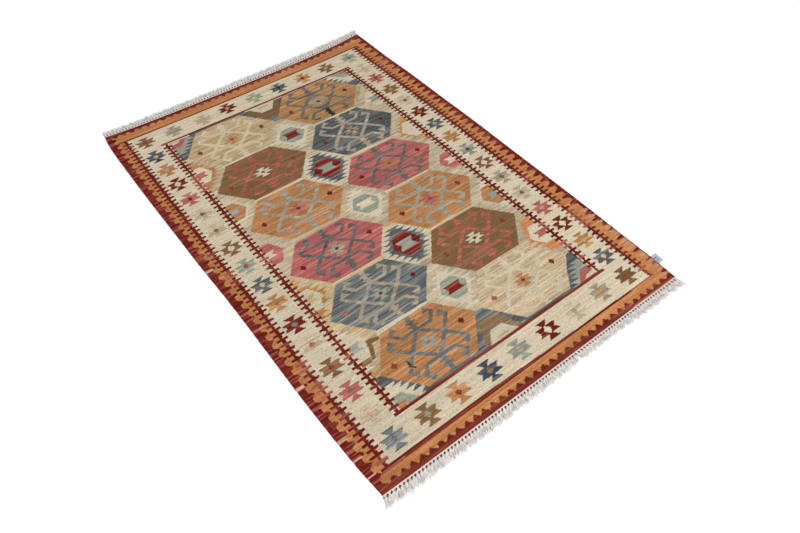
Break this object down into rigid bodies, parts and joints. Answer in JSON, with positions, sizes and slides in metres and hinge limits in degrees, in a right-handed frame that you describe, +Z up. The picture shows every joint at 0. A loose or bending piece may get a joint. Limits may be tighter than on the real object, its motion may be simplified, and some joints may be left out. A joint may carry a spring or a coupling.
{
  "type": "kilim rug",
  "caption": "Flat-woven wool rug with a stepped hexagon pattern inside star and comb borders, a knotted cotton fringe at each end and a small side label.",
  "frame": {"origin": "on the floor, under the middle of the rug's underside", "axes": "+Y along the rug from the near end to the far end, +X across it towards the side with the label, +Z up from the floor"},
  "size_m": [1.2555, 1.8947, 0.0046],
  "materials": {
    "woven_wool": "matt hand-woven wool in rust, orange, cream, pink, olive and grey-blue, with streaks along the weft",
    "cotton_fringe": "matt off-white twisted cotton yarn",
    "label_ribbon": "pale blue-white satin ribbon with plain woven lines"
  },
  "bodies": {
    "root": {"rug": "woven_wool", "fringe_near": "cotton_fringe", "fringe_far": "cotton_fringe", "label": "label_ribbon"}
  },
  "joints": []
}
